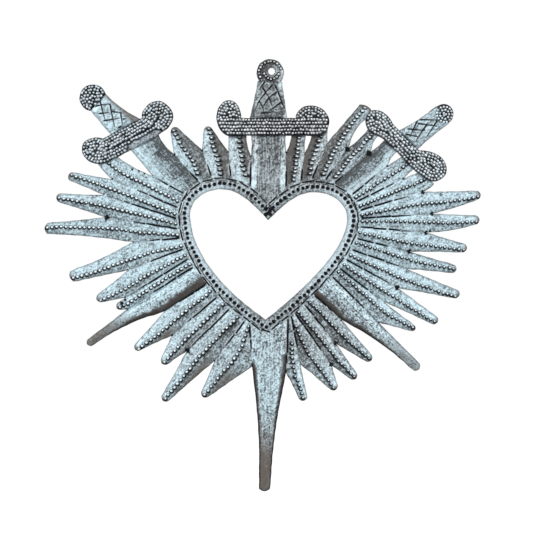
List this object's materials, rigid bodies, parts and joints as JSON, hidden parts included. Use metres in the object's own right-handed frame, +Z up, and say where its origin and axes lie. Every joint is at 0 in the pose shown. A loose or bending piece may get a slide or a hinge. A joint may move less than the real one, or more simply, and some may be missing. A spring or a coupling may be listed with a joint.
{
  "type": "metal sacred heart",
  "caption": "Flat cut and embossed steel wall ornament: an open heart rim carrying three swords and a ring of beaded rays, hung on a nail by the top pommel.",
  "frame": {"origin": "centre of the nail hole in the top pommel, in the plane of the back", "axes": "+Z up along the wall, +X to the right seen from the front, the front faces -Y and the wall lies on the +Y side"},
  "size_m": [0.261, 0.0036, 0.2586],
  "materials": {
    "rim_steel": "drum steel, flat, punched with a row of dark dots between chiselled lines, dull sheen",
    "beaded_steel": "drum steel punched all over with small round beads, dark patina between them",
    "grip_steel": "drum steel engraved with a diamond lattice, dull sheen",
    "blade_steel": "drum steel brushed along its length, mottled, dull sheen",
    "point_steel": "drum steel brushed along its length, brown patina along the steep edges",
    "ray_steel": "drum steel, mottled blue-grey, a line of punched beads along the crest, dark chiselled lines"
  },
  "bodies": {
    "root": {"heart_rim": "rim_steel", "centre_pommel": "beaded_steel", "centre_grip": "grip_steel", "centre_guard": "beaded_steel", "centre_blade": "blade_steel", "centre_sword_point": "point_steel", "left_pommel": "beaded_steel", "left_grip": "grip_steel", "left_guard": "beaded_steel", "left_blade": "blade_steel", "left_sword_point": "point_steel", "right_pommel": "beaded_steel", "right_grip": "grip_steel", "right_guard": "beaded_steel", "right_blade": "blade_steel", "right_sword_point": "point_steel", "top_left_ray_1": "ray_steel", "top_left_ray_2": "ray_steel", "top_left_ray_3": "ray_steel", "top_right_ray_1": "ray_steel", "top_right_ray_2": "ray_steel", "top_right_ray_3": "ray_steel", "top_right_ray_4": "ray_steel", "right_ray_1": "ray_steel", "right_ray_2": "ray_steel", "right_ray_3": "ray_steel", "right_ray_4": "ray_steel", "right_ray_5": "ray_steel", "right_ray_6": "ray_steel", "right_ray_7": "ray_steel", "right_ray_8": "ray_steel", "right_ray_9": "ray_steel", "bottom_right_ray_1": "ray_steel", "bottom_right_ray_2": "ray_steel", "bottom_right_ray_3": "ray_steel", "bottom_right_ray_4": "ray_steel", "bottom_left_ray_1": "ray_steel", "bottom_left_ray_2": "ray_steel", "bottom_left_ray_3": "ray_steel", "bottom_left_ray_4": "ray_steel", "left_ray_1": "ray_steel", "left_ray_2": "ray_steel", "left_ray_3": "ray_steel", "left_ray_4": "ray_steel", "left_ray_5": "ray_steel", "left_ray_6": "ray_steel", "left_ray_7": "ray_steel"}
  },
  "joints": []
}
